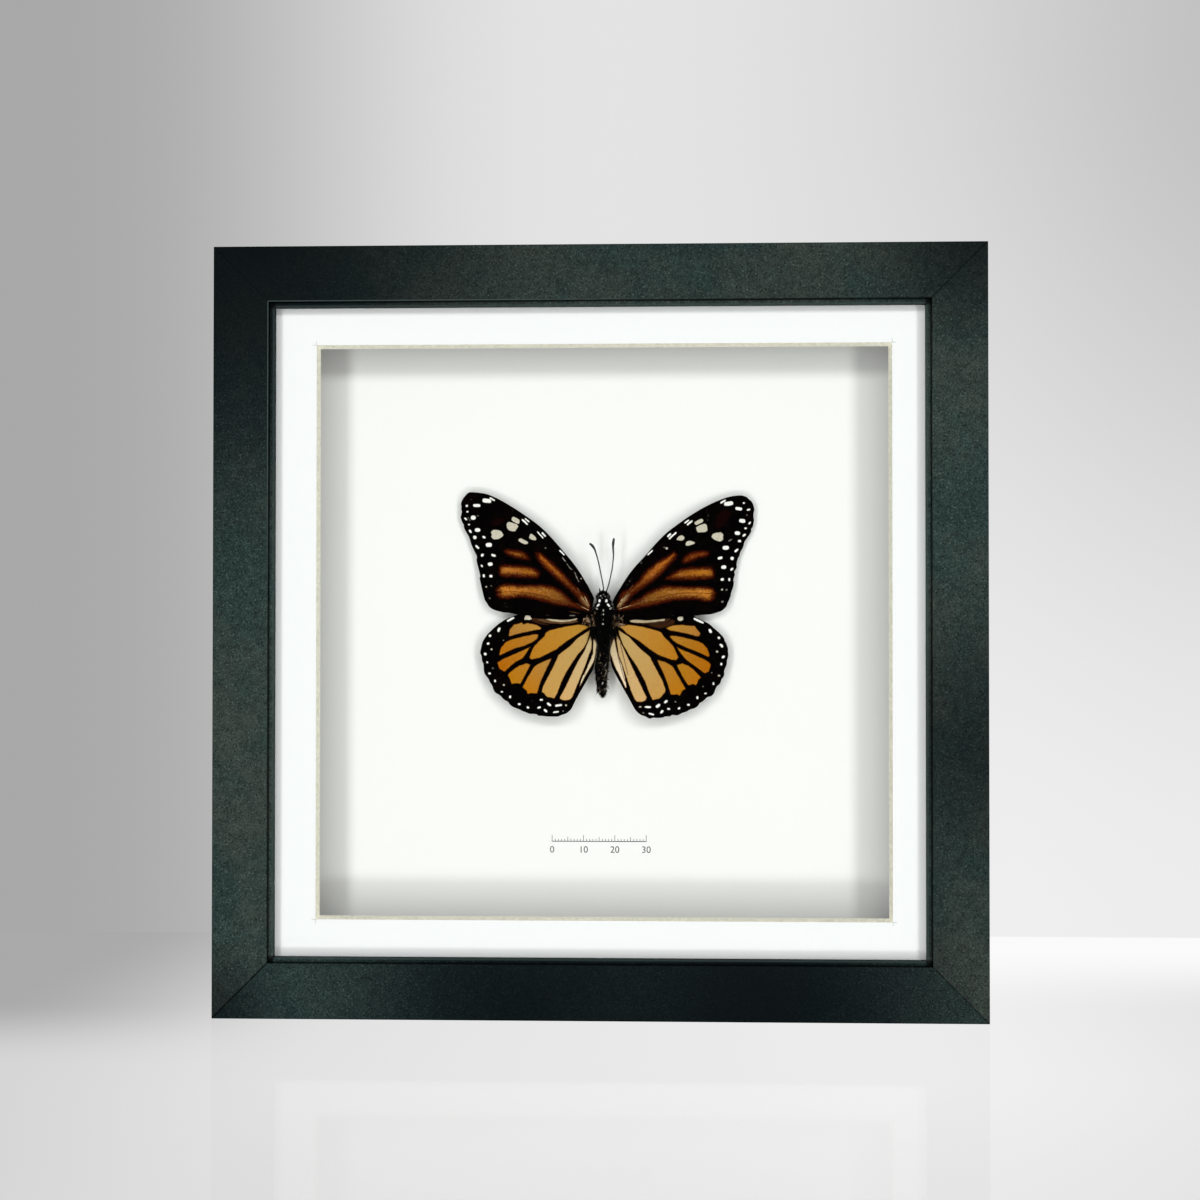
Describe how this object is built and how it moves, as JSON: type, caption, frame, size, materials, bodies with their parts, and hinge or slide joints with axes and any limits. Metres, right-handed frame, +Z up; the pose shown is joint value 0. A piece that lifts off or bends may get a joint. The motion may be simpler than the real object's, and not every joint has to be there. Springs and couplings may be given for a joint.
{
  "type": "framed butterfly specimen",
  "caption": "Square black shadow-box frame with glass and a bevel-cut white mat, showing an orange and black milkweed butterfly spread in front of a white card",
  "frame": {"origin": "Middle of the bottom face, on the surface that the frame stands on", "axes": "+X to the right as seen from the front, +Y from the glass towards the wall, +Z up"},
  "size_m": [0.24, 0.035, 0.24],
  "materials": {
    "frame_paint": "satin",
    "pane": "polished",
    "mat_board": "matte",
    "spacer_foam": "matte",
    "card": "matte",
    "hardboard": "matte",
    "steel": "satin",
    "forewing_scales": "matte",
    "hindwing_scales": "matte",
    "body_hair": "matte",
    "chitin": "satin"
  },
  "bodies": {
    "root": {"rail_top": "frame_paint", "rail_bottom": "frame_paint", "rail_left": "frame_paint", "rail_right": "frame_paint", "glass": "pane", "mat": "mat_board", "spacer_top": "spacer_foam", "spacer_bottom": "spacer_foam", "spacer_left": "spacer_foam", "spacer_right": "spacer_foam", "backing_card": "card", "back_panel": "hardboard", "point_1": "steel", "point_2": "steel", "point_3": "steel", "point_4": "steel", "point_5": "steel", "point_6": "steel", "point_7": "steel", "point_8": "steel", "hanger": "steel", "hanger_rivet_left": "steel", "hanger_rivet_right": "steel", "body_pin": "steel", "left_forewing": "forewing_scales", "right_forewing": "forewing_scales", "left_hindwing": "hindwing_scales", "right_hindwing": "hindwing_scales", "head": "body_hair", "thorax": "body_hair", "abdomen": "body_hair", "left_antenna": "chitin", "right_antenna": "chitin", "leg_front_left": "chitin", "leg_front_right": "chitin", "leg_rear_left": "chitin", "leg_rear_right": "chitin"}
  },
  "joints": []
}
